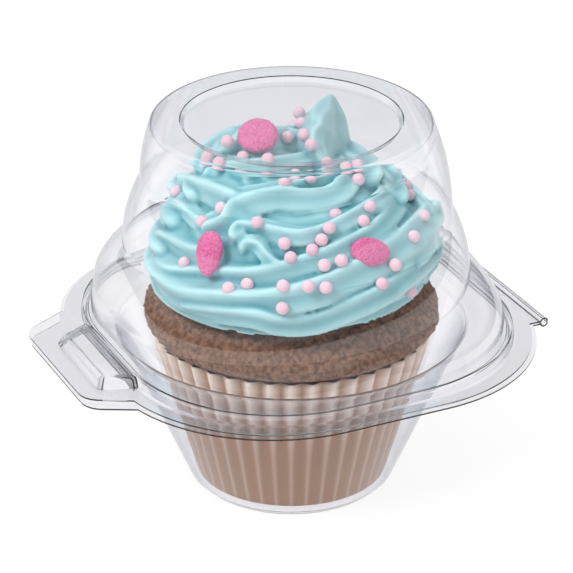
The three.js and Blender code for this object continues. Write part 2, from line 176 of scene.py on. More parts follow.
@dataclass(frozen=True)
class Finish:
    """Plain values of one surface finish; colours are sRGB bytes."""

    name: str
    colour: tuple[int, int, int]
    second: tuple[int, int, int]
    roughness: float
    subsurface: float = 0.0
    coat: float = 0.0
    grain_mm: float = 1.0
    bump: float = 0.0


# The second colours of the case and the frosting are also painted into their creases and hollows as painted
# shade
CASE = Finish("case_paper", (246, 230, 216), (150, 98, 56), 0.7, 0.0, 0.0, 0.4, 0.05)
SPONGE = Finish("sponge", (160, 120, 96), (76, 48, 36), 0.9, 0.05, 0.0, 1.3, 1.0)
ICING = Finish("frosting", (190, 236, 237), (36, 152, 164), 0.34, 0.12, 0.1, 6.0, 0.0)
SUGAR = Finish("candy", (255, 142, 192), (228, 78, 146), 0.75, 0.15, 0.0, 0.6, 0.9)
PEARL = Finish("pearl", (253, 208, 218), (246, 182, 200), 0.4, 0.3, 0.1, 1.0, 0.0)


@dataclass(frozen=True)
class Rope:
    """One piped rope of frosting: half width and the points that it passes."""

    name: str
    radius: float
    points: tuple[tuple[float, float, float], ...]


@dataclass(frozen=True)
class Candy:
    """One sugar candy: length, width, taper and the way that it faces."""

    node: str
    length: float
    width: float
    taper: float
    face: tuple[float, float]
    roll: float


CANDIES = (
    Candy("candy_disc", 10.4, 10.0, 0.0, (-35, 62), 0),
    Candy("candy_drop", 11.2, 7.6, 0.3, (-42, 24), -42),
    Candy("candy_oval", 10.6, 7.6, 0.15, (8, 32), 80),
)
CANDY_THICKNESS = 3.4

# Ropes in front, traced along the swirl
FRONT_ROPES = (
    Rope("bottom", 4.4, (
        (-10.8, -31.5, 62), (-1.1, -33.2, 61.7), (10.5, -32.3, 62.2), (20.8, -26.3, 64.1),
        (26.1, -19.4, 64.7), (30.4, -11.7, 66.5), (30.9, -1.9, 68.2), (28.5, 8.2, 69.8), (22.6, 19.5, 70.5),
        (9, 33.6, 68.6), (8.6, 32.3, 70.9),
    )),
    Rope("skirt", 3.4, (
        (8.6, -34, 58.9), (18.6, -28.8, 60.9), (26.6, -22.8, 61.9), (30.1, -16.4, 60), (32.3, -9.5, 59.8),
        (34.2, -0.8, 62.2), (32.7, 8.9, 63.7), (27.7, 18.5, 64.8), (12.6, 32.4, 60.7), (12.6, 31.7, 68.2),
    )),
    Rope("ledge", 3.0, (
        (-13, -31.2, 62.5), (0.9, -32.3, 64.5), (12.4, -27.1, 68), (19.9, -21.6, 69.5), (24.3, -16, 71.1),
        (26.4, -9.9, 72.6), (27.8, -3.3, 74.3), (26.1, 4.7, 75.1), (23.7, 11.2, 75.9), (17.9, 18.1, 76),
        (7, 26.4, 73.3),
    )),
    Rope("left_low", 3.0, (
        (-27.8, -24.7, 60), (-7.9, -29.3, 69), (3.6, -29.1, 70.9), (10.8, -27.7, 72), (15, -25.4, 71.3),
    )),
    Rope("curl", 1.8, (
        (19.1, -21.2, 75.4), (18.2, -21.5, 76.1), (18.6, -20.1, 77.2), (20.2, -18.5, 76.6),
        (22.4, -17.9, 75), (24.9, -15.8, 72.9), (26.3, -11.8, 72.7), (27.5, -6.9, 74.5), (27, -0.9, 75.7),
        (25.6, 4.6, 76.9),
    )),
    Rope("hook_mid", 2.5, (
        (16.2, -21.9, 76.7), (14.2, -21.6, 77.9), (13.6, -19.7, 79.2), (16, -16.7, 79.3),
        (20.7, -12.7, 78.8), (23.7, -8.7, 78.5), (23.5, -2.5, 78.5), (23, 3, 79.5), (19.5, 9.5, 79.4),
        (15.3, 16.5, 79.5), (-2.9, 30.6, 73.5),
    )),
    Rope("smooth", 3.6, (
        (4.7, -26.5, 76.2), (7.4, -23.4, 77.5), (8.9, -20.8, 79.1), (8.7, -17.8, 81.7), (10.7, -14.3, 83.6),
        (12.3, -8.9, 84), (14.3, -4.5, 83.1), (15.1, 0.8, 82.3), (13.7, 5.7, 82.5), (9.1, 10.7, 82.5),
        (4.4, 15.1, 82.3),
    )),
    Rope("left_hook", 2.2, (
        (-12.4, -27.8, 69.1), (-18, -25.8, 71.4), (-18.6, -23.5, 72.3), (-8, -25.6, 76.3),
        (0.3, -26.4, 77.2), (4.7, -26.2, 77.2),
    )),
    Rope("left_mass", 3.8, (
        (-20, -22.8, 73.9), (-20.9, -19.1, 76), (-4, -20.5, 82.5), (3.6, -19.3, 83.3), (7.7, -17.3, 82.6),
    )),
    Rope("d_rope", 2.7, (
        (5.7, -19.5, 82.9), (9.7, -14.7, 84.7), (11.4, -8.5, 85.5), (10.7, -2.5, 85.5), (7.6, 4.7, 84.8),
        (3.2, 11.3, 83.9), (-7.6, 18.3, 81.1), (-6, 15.8, 84.2), (-4, 11.4, 88.4),
    )),
    Rope("c_rope", 2.5, (
        (-2.7, -20.1, 83.6), (-4.6, -19.4, 85), (-4, -16.9, 86.4), (3.4, -11.5, 89.1), (3.6, -2.4, 88),
        (0.2, 5.5, 86.5), (-1.3, 8.6, 87.8), (-2.4, 9.5, 88.6),
    )),
    Rope("top_rope", 3.8, (
        (-12.8, -19.3, 82.2), (-12.8, -16.8, 85.2), (-11.7, -14.6, 87.6), (-15.8, -9.7, 86.8),
        (-9.5, -7.2, 90.7), (-8.6, -1.5, 89.2), (-5.8, 6.3, 87.9), (-2.5, 8.1, 88),
    )),
    Rope("top_back", 4.0, (
        (-12.8, -16.8, 85.2), (-11.7, -14.6, 87.6), (-9, -10.2, 90.9), (-9.4, -6.4, 90.7), (-8, -0.7, 89.4),
        (-13.1, 8.1, 87),
    )),
    Rope("right_a", 2.2, (
        (11.4, 20.6, 77.9), (10, 24.4, 74.7), (15.8, 22.9, 73.1), (22.5, 18.3, 72.1), (27, 13.5, 71),
    )),
    Rope("right_top", 4.0, (
        (-5.9, 20.1, 81.6), (-0.4, 21.1, 81), (3.2, 25, 78.3), (-2.9, 30.6, 73.5), (4.6, 32.2, 70.9),
        (9, 33.6, 68.6),
    )),
    Rope("right_b", 2.8, (
        (4.6, 32.2, 70.9), (8.6, 32.3, 70.9), (12.6, 31.7, 68.2), (23, 24.8, 67.7), (28, 17.3, 66.8),
    )),
)

# Ropes behind, where the swirl closes: height at the right and at the left end
BACK_ROPES = ((57.5, 60.0), (63.0, 65.5), (69.5, 72.5), (76.0, 79.0), (82.0, 84.5))
# The leaf-shaped peak: points with the half width at each
LEAF_ROPE = (
    (-4.0, 5.0, 76.0, 10.4),
    (-5.0, 8.0, 83.0, 10.2),
    (-8.0, 11.2, 88.4, 8.4),
    (-11.6, 15.0, 92.4, 5.4),
    (-14.4, 17.6, 95.0, 2.3),
    (-15.8, 18.8, 96.4, 0.6),
)


def linear(colour: Sequence[int]) -> tuple[float, float, float, float]:
    """Turns an sRGB byte colour into linear light.

    Args:
        colour: red, green and blue from 0 to 255.

    Returns:
        Red, green, blue and alpha for a colour socket.
    """
    parts = [c / 255 for c in colour]
    light = [c / 12.92 if c <= 0.04045 else ((c + 0.055) / 1.055) ** 2.4 for c in parts]
    return (*light, 1.0)


def lerp(a: float, b: float, t: float) -> float:
    """Value t of the way from a to b."""
    return a + (b - a) * t


def smoothstep(x: float, low: float, high: float) -> float:
    """Eased step from 0 at low to 1 at high."""
    t = min(1.0, max(0.0, (x - low) / (high - low)))
    return t * t * (3 - 2 * t)


def plan_radius(half: float, corner: float, angle: float) -> float:
    """Distance from the axis to the rounded square plan in one direction.

    Args:
        half: half width of the square.
        corner: corner radius.
        angle: direction in radians.

    Returns:
        The distance in millimetres.
    """
    across, along = abs(math.cos(angle)), abs(math.sin(angle))
    flat = half - corner
    inset = TAB_SIDE_INSET if math.sin(angle) < 0 else 0.0
    flat_along = flat - inset
    if half * along <= flat_along * across:
        return half / across
    if (half - inset) * across <= flat * along:
        return (half - inset) / along
    centre = flat * across + flat_along * along
    return centre + math.sqrt(centre**2 - (flat**2 + flat_along**2 - corner**2))


def ring_radius(setback: float, angle: float) -> float:
    """Radius of the plan outline, set back from the flange edge, at an angle."""
    return plan_radius(FLANGE_HALF - setback, PLAN_CORNER - setback * CORNER_SHRINK, angle)


def dense(profile: Sequence[tuple[float, float]], rows: Sequence[int]) -> Profile:
    """Splits each leg of a profile into short steps.

    Args:
        profile: radius and height pairs.
        rows: number of steps on each leg.

    Returns:
        The denser profile.
    """
    out = [profile[0]]
    for (r0, z0), (r1, z1), n in zip(profile, profile[1:], rows):
        out += [(lerp(r0, r1, j / n), lerp(z0, z1, j / n)) for j in range(1, n + 1)]
    return out


def crease_height(turn: float) -> float:
    """Height of the dome's crease after some turns down from the rim."""
    return max(SHOULDER_HEIGHT, OVERALL - RIM_FILLET - SWIRL_DROP * turn**SWIRL_POWER)


def bulge(upper: tuple[float, float], lower: tuple[float, float], t: float) -> tuple[float, float]:
    """Point on the swelling face between two creases."""
    return lerp(lower[0], upper[0], (1 - t) ** 2), lerp(upper[1], lower[1], t)


def crease_point(turn: float, above: tuple[float, float], foot: tuple[float, float]) -> tuple[float, float]:
    """Crease of the swirl, faded into the plain shoulder lower down.

    Args:
        turn: turns from the start of the crease.
        above: radius and height of the crease one turn before.
        foot: radius and height of the shoulder's foot.

    Returns:
        Radius and height of the crease.
    """
    height = crease_height(turn)
    span = max(1e-6, above[1] - foot[1])
    share = min(1.0, max(0.0, (above[1] - height) / span))
    plain = bulge(above, foot, share)[0]
    fade = smoothstep(turn, SWIRL_FADE_FROM, SWIRL_FADE_FROM + SWIRL_FADE_TURNS)
    return lerp(RIM_RADIUS + SWIRL_GROWTH * turn, plain, fade), height


def swirl_profile(angle: float, rows: int = 14) -> Profile:
    """Face of the dome from its rim to its foot, in one direction.

    Args:
        angle: direction in radians; the crease leaves the rim at SWIRL_START.
        rows: points on each face between two creases.

    Returns:
        Radius and height pairs, the same number in every direction.
    """
    wound = max(0.0, (math.radians(SWIRL_START) - angle) / (2 * math.pi))
    foot = (plan_radius(SHOULDER_HALF, SHOULDER_CORNER, angle), SHOULDER_HEIGHT)
    corners = [(RIM_RADIUS, OVERALL - RIM_FILLET)]
    for k in range(SWIRL_TURNS):
        corners.append(crease_point(wound + k, corners[k], foot))
    corners.append(foot)
    profile = [corners[0]]
    for upper, lower in zip(corners, corners[1:]):
        profile += [bulge(upper, lower, j / rows) for j in range(1, rows + 1)]
    return profile


def lid_profile(angle: float) -> Profile:
    """Outer face of the lid from the middle of the top to the flange edge.

    Args:
        angle: direction in radians.

    Returns:
        Radius and height pairs.
    """
    disc = OVERALL - STACKING_DEPTH
    flange = PARTING + GAP / 2 + SHEET
    ledge = flange + RING_HEIGHT + GAP
    top = dense(
        [
            (0, disc),
            (STACKING_RADIUS - STACKING_DRAFT, disc),
            (STACKING_RADIUS, OVERALL),
            (RIM_RADIUS - RIM_FILLET, OVERALL),
        ],
        (12, 4, 6),
    )
    fillet = [
        (RIM_RADIUS - RIM_FILLET * (1 - math.sin(a)), OVERALL - RIM_FILLET * (1 - math.cos(a)))
        for a in (math.radians(d) for d in (18, 36, 54, 72))
    ]
    foot = dense(
        [
            (plan_radius(SHOULDER_HALF, SHOULDER_CORNER, angle), SHOULDER_HEIGHT),
            (plan_radius(SHOULDER_HALF, SHOULDER_CORNER, angle), ledge + LEDGE_STEP),
            (ring_radius(RING_SETBACK + RING_DRAFT - SHEET, angle), ledge),
            (ring_radius(RING_SETBACK - SHEET, angle), flange + RING_FOOT),
            (ring_radius(RING_SETBACK - SHEET - RING_EDGE, angle), flange),
            (ring_radius(LID_SETBACK, angle), flange),
        ],
        (2, 3, 4, 2, 6),
    )
    return top + fillet + swirl_profile(angle) + foot[1:]


def tray_profile(angle: float) -> Profile:
    """Upper face of the base from the middle of the floor to the flange edge.

    Args:
        angle: direction in radians.

    Returns:
        Radius and height pairs.
    """
    flange = PARTING - GAP / 2
    top = flange + RING_HEIGHT
    setback = RING_SETBACK + RING_CLEARANCE
    wall = FOOT_RADIUS + CUP_FOOT_FILLET
    return dense(
        [
            (0, PUSH_UP + SHEET),
            (FOOT_RADIUS - FOOT_LAND - PUSH_UP, PUSH_UP + SHEET),
            (FOOT_RADIUS - FOOT_LAND, SHEET),
            (FOOT_RADIUS - SHEET, SHEET),
            (wall - SHEET, SHEET + CUP_FOOT_FILLET),
            (CUP_TOP_RADIUS, top - CUP_LIP_DROP),
            (CUP_TOP_RADIUS + CUP_LIP_RUN, top),
            (ring_radius(setback + RING_DRAFT + RING_EDGE, angle), top),
            (ring_radius(setback + RING_DRAFT, angle), top - RING_EDGE),
            (ring_radius(setback, angle), flange + RING_FOOT),
            (ring_radius(setback - RING_EDGE, angle), flange),
            (ring_radius(0, angle), flange),
        ],
        (8, 4, 4, 4, 24, 3, 5, 2, 4, 2, 6),
    )


def to_metres(points: np.ndarray) -> np.ndarray:
    """Moves points from the cup's axes in millimetres to the row frame in metres."""
    return (np.asarray(points, float) + np.array([0.0, AXIS_SHIFT, 0.0])) * MM


def mesh_object(name: str, points: np.ndarray, faces: Sequence[Sequence[int]]) -> bpy.types.Object:
    """Makes a mesh object from points in millimetres.

    Args:
        name: name of the object.
        points: vertices, one row each.
        faces: vertex numbers of each face.

    Returns:
        The object, linked to the scene, with smooth faces.
    """
    mesh = bpy.data.meshes.new(name)
    mesh.from_pydata(to_metres(points).tolist(), [], [list(f) for f in faces])
    mesh.update()
    mesh.shade_smooth()
    obj = bpy.data.objects.new(name, mesh)
    bpy.context.scene.collection.objects.link(obj)
    return obj


def grid_faces(columns: int, rows: int, wrap: bool = False) -> list[tuple[int, int, int, int]]:
    """Quads between columns of points.

    Args:
        columns: number of columns, stored one after another.
        rows: points in each column.
        wrap: whether the last column joins the first.

    Returns:
        Four vertex numbers for each quad.
    """
    faces = []
    for i in range(columns if wrap else columns - 1):
        a, b = i * rows, ((i + 1) % columns) * rows
        faces += [(a + j, a + j + 1, b + j + 1, b + j) for j in range(rows - 1)]
    return faces


def tidy(obj: bpy.types.Object, distance: float = 2e-6) -> None:
    """Joins coincident points and turns the faces outwards.

    Args:
        obj: mesh object.
        distance: distance in metres under which points are one.
    """
    work = bmesh.new()
    work.from_mesh(obj.data)
    bmesh.ops.remove_doubles(work, verts=work.verts, dist=distance)
    bmesh.ops.dissolve_degenerate(work, edges=work.edges, dist=distance / 2)
    bmesh.ops.recalc_face_normals(work, faces=work.faces)
    work.to_mesh(obj.data)
    work.free()
    obj.data.shade_smooth()


def settle(obj: bpy.types.Object) -> None:
    """Turns an object's modifiers into its mesh."""
    graph = bpy.context.evaluated_depsgraph_get()
    made = bpy.data.meshes.new_from_object(obj.evaluated_get(graph), depsgraph=graph)
    obj.modifiers.clear()
    obj.data = made


def combine(obj: bpy.types.Object, others: Sequence[bpy.types.Object], operation: str) -> None:
    """Adds solids to an object, or cuts them out, and removes them.

    Args:
        obj: object that is kept.
        others: solids that are used up.
        operation: UNION or DIFFERENCE.
    """
    for other in others:
        step = obj.modifiers.new("solid", "BOOLEAN")
        step.operation = operation
        step.solver = "MANIFOLD"
        step.object = other
        settle(obj)
        bpy.data.objects.remove(other)


class Tree:
    """A node tree, with a short way to add nodes that are set and joined."""

    def __init__(self, tree: bpy.types.NodeTree) -> None:
        self.tree = tree

    def add(self, kind: str, sockets: Sockets | None = None, **values: object) -> bpy.types.Node:
        """Adds a node.

        Args:
            kind: type of the node, without ShaderNode.
            sockets: for each input, its value or the output that feeds it.
            values: plain properties of the node.

        Returns:
            The node.
        """
        node = self.tree.nodes.new(f"ShaderNode{kind}")
        for key, value in values.items():
            setattr(node, key, value)
        self.feed(node, sockets or {})
        return node

    def mix(self, share: object, first: object, second: object) -> bpy.types.NodeSocket:
        """Mixes two colours by a share and gives the mixed colour."""
        return self.add("Mix", {"Factor": share, "A": first, "B": second}, data_type="RGBA").outputs["Result"]

    def math(self, operation: str, *values: object) -> bpy.types.NodeSocket:
        """Adds a Math node and gives its value."""
        return self.add("Math", dict(enumerate(values)), operation=operation).outputs[0]

    def feed(self, node: bpy.types.Node, sockets: Sockets) -> None:
        """Gives inputs of a node their values, or links from outputs."""
        for key, value in sockets.items():
            if isinstance(value, bpy.types.NodeSocket):
                self.tree.links.new(value, node.inputs[key])
            else:
                node.inputs[key].default_value = value


def new_material(name: str) -> tuple[bpy.types.Material, Tree, bpy.types.Node]:
    """Makes a material and gives it with its node tree and its Principled BSDF."""
    material = bpy.data.materials.new(name)
    material.use_nodes = True
    return material, Tree(material.node_tree), material.node_tree.nodes["Principled BSDF"]


def grain_group() -> bpy.types.NodeTree:
    """Builds the group that gives a two-tone grain and a bumped normal.

    Returns:
        A group with Colour, Second, Size, Amount and Bump inputs, and Colour
        and Normal outputs.
    """
    group = bpy.data.node_groups.new("fine_grain", "ShaderNodeTree")
    for name in ("Colour", "Second"):
        group.interface.new_socket(name, in_out="INPUT", socket_type="NodeSocketColor")
    for name in ("Size", "Amount", "Bump"):
        group.interface.new_socket(name, in_out="INPUT", socket_type="NodeSocketFloat")
    for name, kind in (("Colour", "Color"), ("Normal", "Vector")):
        group.interface.new_socket(name, in_out="OUTPUT", socket_type=f"NodeSocket{kind}")
    given, end = group.nodes.new("NodeGroupInput").outputs, group.nodes.new("NodeGroupOutput")
    tree = Tree(group)
    place = tree.add("TexCoord")
    scale = tree.math("DIVIDE", 1.0, given["Size"])
    noisy = tree.add("TexNoise", {"Vector": place.outputs["Object"], "Scale": scale, "Detail": 3.0})
    speck = noisy.outputs["Fac"]
    spread = tree.add("MapRange", {"Value": speck, "From Min": 0.35, "From Max": 0.65})
    share = tree.math("MULTIPLY", spread.outputs["Result"], given["Amount"])
    rough = tree.add("Bump", {"Distance": 0.001, "Strength": given["Bump"], "Height": speck})
    colour = tree.mix(share, given["Colour"], given["Second"])
    tree.feed(end, {"Colour": colour, "Normal": rough.outputs["Normal"]})
    return group


def opaque(finish: Finish, grain: bpy.types.NodeTree, amount: float, painted_shade_mask: str = "") -> bpy.types.Material:
    """Makes an opaque food or paper material.

    Args:
        finish: colours and plain values.
        grain: the shared grain group.
        amount: how much of the second colour the grain brings in.
        painted_shade_mask: attribute that mixes in the second colour, where the mesh has one.

    Returns:
        The material.
    """
    material, tree, bsdf = new_material(finish.name)
    speck = tree.add(
        "Group",
        {
            "Colour": linear(finish.colour),
            "Second": linear(finish.second),
            "Size": finish.grain_mm * MM,
            "Amount": amount,
            "Bump": finish.bump,
        },
        node_tree=grain,
    )
    colour = speck.outputs["Colour"]
    # Painted shade: an attribute of the mesh mixes in the darker second colour
    if painted_shade_mask:
        value = tree.add("Attribute", attribute_name=painted_shade_mask)
        colour = tree.mix(value.outputs["Fac"], colour, linear(finish.second))
    tree.feed(
        bsdf,
        {
            "Base Color": colour,
            "Normal": speck.outputs["Normal"],
            "Roughness": finish.roughness,
            "Subsurface Weight": finish.subsurface,
            "Subsurface Radius": (0.004, 0.004, 0.004),
            "Subsurface Scale": 0.6,
            "Coat Weight": finish.coat,
            "Coat Roughness": 0.25,
        },
    )
    return material


def clear_sheet(
    name: str, colour: Sequence[int], edge: Sequence[int], roughness: float = 0.03
) -> bpy.types.Material:
    """Makes the clear sheet: light passes straight through it to what is inside.

    Args:
        name: name of the material.
        colour: tint of the sheet seen square on, as sRGB bytes.
        edge: tint of the sheet seen edge on, deepened into painted dark lines along its edges.
        roughness: roughness of its faces.

    Returns:
        The material.
    """
    material, tree, bsdf = new_material(name)
    # Painted shade: the sheet darkens towards grazing view, painting dark lines where it is seen edge on
    facing = tree.add("LayerWeight", {"Blend": 0.5})
    grazing = tree.add("MapRange", {"Value": facing.outputs["Facing"], "From Min": 0.58, "From Max": 1.0})
    tree.feed(
        bsdf,
        {
            "Base Color": tree.mix(grazing.outputs["Result"], linear(colour), linear(edge)),
            "Roughness": roughness,
            "IOR": 1.5,
            "Metallic": 0.0,
            "Transmission Weight": 1.0,
        },
    )
    through = tree.add("BsdfTransparent", {"Color": (0.93, 0.93, 0.94, 1.0)})
    path = tree.add("LightPath").outputs
    either = tree.math("MAXIMUM", path["Is Shadow Ray"], path["Is Diffuse Ray"])
    mix = tree.add("MixShader", {"Fac": either, 1: bsdf.outputs["BSDF"], 2: through.outputs["BSDF"]})
    tree.feed(material.node_tree.nodes["Material Output"], {"Surface": mix.outputs["Shader"]})
    return material


def hand_over(
    obj: bpy.types.Object, material: bpy.types.Material, slot: str, body: Body, *nodes: str
) -> bpy.types.Object:
    """Gives a piece its finish and ties it to the CAD part.

    Args:
        obj: the piece.
        material: its material.
        slot: not used.
        body: CAD body that it moves with.
        nodes: CAD nodes that it replaces.

    Returns:
        The same object.
    """
    obj.data.materials.clear()
    obj.data.materials.append(material)
    obj.data.shade_smooth()
    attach(obj, body.value)
    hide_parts(*nodes)
    log.info("%s: %d faces", obj.name, len(obj.data.polygons))
    return obj


@dataclass
class Clamshell:
    """Both halves of the clear box."""

    columns: int = 300

    def shell(self, name: str, profile: Callable[[float], Profile], start: float) -> bpy.types.Object:
        """Makes one half as a sheet with a real thickness under its face.

        Args:
            name: name of the object.
            profile: radius and height pairs of the face at an angle.
            start: angle in radians where the first column stands.

        Returns:
            The sheet.
        """
        angles = [start + 2 * math.pi * i / self.columns for i in range(self.columns + 1)]
        points, rows = [], 0
        for angle in angles:
            column = profile(angle)
            rows = len(column)
            points += [(r * math.cos(angle), r * math.sin(angle), z) for r, z in column]
        obj = mesh_object(name, np.array(points), grid_faces(len(angles), rows))
        tidy(obj)
        self.face_up(obj)
        thick = obj.modifiers.new("sheet", "SOLIDIFY")
        thick.thickness = SHEET * MM
        thick.offset = -1
        thick.use_even_offset = True
        thick.use_quality_normals = True
        settle(obj)
        return obj

    def face_up(self, obj: bpy.types.Object) -> None:
        """Turns the sheet's faces upwards and outwards."""
        mean = sum((p.normal.z * p.area for p in obj.data.polygons), 0.0)
        if mean < 0:
            obj.data.flip_normals()

    def slab(
        self, name: str, outline: Sequence[tuple[float, float]], bottom: float, top: float
    ) -> bpy.types.Object:
        """Flat plate between two heights.

        Args:
            name: name of the object.
            outline: corners of its plan, counter-clockwise.
            bottom: height of its lower face.
            top: height of its upper face.

        Returns:
            The plate.
        """
        count = len(outline)
        points = [(x, y, z) for z in (bottom, top) for x, y in outline]
        faces = [tuple(reversed(range(count))), tuple(range(count, 2 * count))]
        faces += [(i, (i + 1) % count, count + (i + 1) % count, count + i) for i in range(count)]
        obj = mesh_object(name, np.array(points), faces)
        tidy(obj)
        return obj

    def tab(self, name: str, bottom: float, shift: float, setback: float) -> bpy.types.Object:
        """Trapezoid tab on the closing side, with round corners at its tip.

        Args:
            name: name of the object.
            bottom: height of its lower face.
            shift: distance that it stands to the right.
            setback: distance that its tip is drawn back.

        Returns:
            The tab, one sheet thick.
        """
        root = -(FLANGE_HALF - TAB_SIDE_INSET - RING_SETBACK + TAB_OVERLAP)
        tip = -(FLANGE_HALF - TAB_SIDE_INSET + TAB_REACH - setback)
        half, root_half = TAB_TIP_HALF, TAB_TIP_HALF + TAB_FLARE
        side = Vector((half - root_half, tip - root)).normalized()
        right = []
        for k in range(9):
            t = k / 8
            a = Vector((half - side.x * TAB_CORNER, tip - side.y * TAB_CORNER))
            b, c = Vector((half, tip)), Vector((half - TAB_CORNER, tip))
            right.append(a * (1 - t) ** 2 + b * (2 * t * (1 - t)) + c * t * t)
        left = [Vector((-p.x, p.y)) for p in reversed(right)]
        outline = [Vector((root_half, root)), *right, *left, Vector((-root_half, root))]
        outline = [(p.x + shift, p.y) for p in reversed(outline)]
        return self.slab(name, outline, bottom, bottom + SHEET)

    def boss(self, name: str, bottom: float, top: float, inset: float, rounding: float) -> bpy.types.Object:
        """Drafted block of the lock.

        Args:
            name: name of the object.
            bottom: height of its foot.
            top: height of its top.
            inset: distance that its sides are drawn in.
            rounding: width of its soft edges.

        Returns:
            The block.
        """
        wall = -(FLANGE_HALF - TAB_SIDE_INSET - RING_SETBACK + SHEET / 2)
        rings = []
        for height in (bottom, top):
            draft = BOSS_DRAFT * (height - PARTING) / BOSS_HEIGHT + inset
            root_half, tip_half = BOSS_TIP_HALF + BOSS_FLARE - draft, BOSS_TIP_HALF - draft
            tip = wall - BOSS_REACH + inset + draft
            root = wall - inset
            rings.append([(root_half, root), (-root_half, root), (-tip_half, tip), (tip_half, tip)])
        points = [(x, y, z) for ring, z in zip(rings, (bottom, top)) for x, y in ring]
        faces = [(3, 2, 1, 0), (4, 5, 6, 7)] + [(i, (i + 1) % 4, 4 + (i + 1) % 4, 4 + i) for i in range(4)]
        obj = mesh_object(name, np.array(points), faces)
        edge = obj.modifiers.new("soft", "BEVEL")
        edge.width = rounding * MM
        edge.segments = 4
        edge.limit_method = "NONE"
        settle(obj)
        tidy(obj)
        return obj

    def leaf(self, name: str, side: int) -> bpy.types.Object:
        """Half of the fold line: a flat leaf that ends in a half-round bead.

        Args:
            name: name of the object.
            side: 1 above the parting plane, -1 below it.

        Returns:
            The leaf.
        """
        face = side * GAP / 2
        start, middle = FLANGE_HALF - LID_SETBACK - LEAF_OVERLAP, FLANGE_HALF + BEAD_RADIUS
        steps = [math.pi * k / 12 for k in range(13)]
        bore = BEAD_RADIUS - SHEET
        inner = [(middle - bore * math.cos(a), face + side * bore * math.sin(a)) for a in steps]
        outer = [(middle + BEAD_RADIUS * math.cos(a), face + side * BEAD_RADIUS * math.sin(a)) for a in steps]
        outer[-1] = (middle - BEAD_RADIUS, face + side * SHEET)
        outline = [(start, face), *inner, *outer, (start, face + side * SHEET)]
        count = len(outline)
        points = [(x, y, PARTING + z) for x in (-HINGE_HALF, HINGE_HALF) for y, z in outline]
        faces = [tuple(range(count)), tuple(range(2 * count - 1, count - 1, -1))]
        faces += [(i, count + i, count + (i + 1) % count, (i + 1) % count) for i in range(count)]
        obj = mesh_object(name, np.array(points), faces)
        tidy(obj)
        return obj

    def base(self, finish: bpy.types.Material) -> bpy.types.Object:
        """Base cup with its flange, tab, lock and hinge leaf, in a finish."""
        obj = self.shell("base_shell", tray_profile, 0.0)
        flange = PARTING - GAP / 2
        lock_top = PARTING + BOSS_HEIGHT - SHEET - GAP
        combine(
            obj,
            [
                self.tab("tab", flange - SHEET, 0.0, 0.0),
                self.leaf("leaf", -1),
                self.boss("boss", flange - SHEET, lock_top, SHEET + GAP, BASE_BOSS_ROUNDING),
            ],
            "UNION",
        )
        bottom, rounding = flange - BASE_HOLLOW_OVERRUN, BASE_BOSS_ROUNDING - HOLLOW_ROUNDING_LOSS
        combine(obj, [self.boss("hollow", bottom, lock_top - SHEET, 2 * SHEET + GAP, rounding)], "DIFFERENCE")
        return self.dress(obj, finish, "base_tray", Body.BASE)

    def lid(self, finish: bpy.types.Material) -> bpy.types.Object:
        """Domed lid with its flange, tab, lock and hinge leaf, in a finish."""
        obj = self.shell("lid_shell", lid_profile, math.radians(SWIRL_START) - 2 * math.pi)
        bottom, lock_top = PARTING + GAP / 2, PARTING + BOSS_HEIGHT
        combine(
            obj,
            [
                self.tab("tab", bottom, -TAB_SHIFT, LID_TAB_SETBACK),
                self.leaf("leaf", 1),
                self.boss("boss", bottom, lock_top, 0.0, LID_BOSS_ROUNDING),
            ],
            "UNION",
        )
        rounding = LID_BOSS_ROUNDING - HOLLOW_ROUNDING_LOSS
        hollow = self.boss("hollow", bottom - LID_HOLLOW_OVERRUN, lock_top - SHEET, SHEET, rounding)
        combine(obj, [hollow], "DIFFERENCE")
        return self.dress(obj, finish, "lid_dome", Body.LID)

    def dress(
        self, obj: bpy.types.Object, finish: bpy.types.Material, node: str, body: Body
    ) -> bpy.types.Object:
        """Hands over one half with crisp edges."""
        hand_over(obj, finish, "clear_pet", body, node)
        obj.data.set_sharp_from_angle(angle=math.radians(35))
        return obj


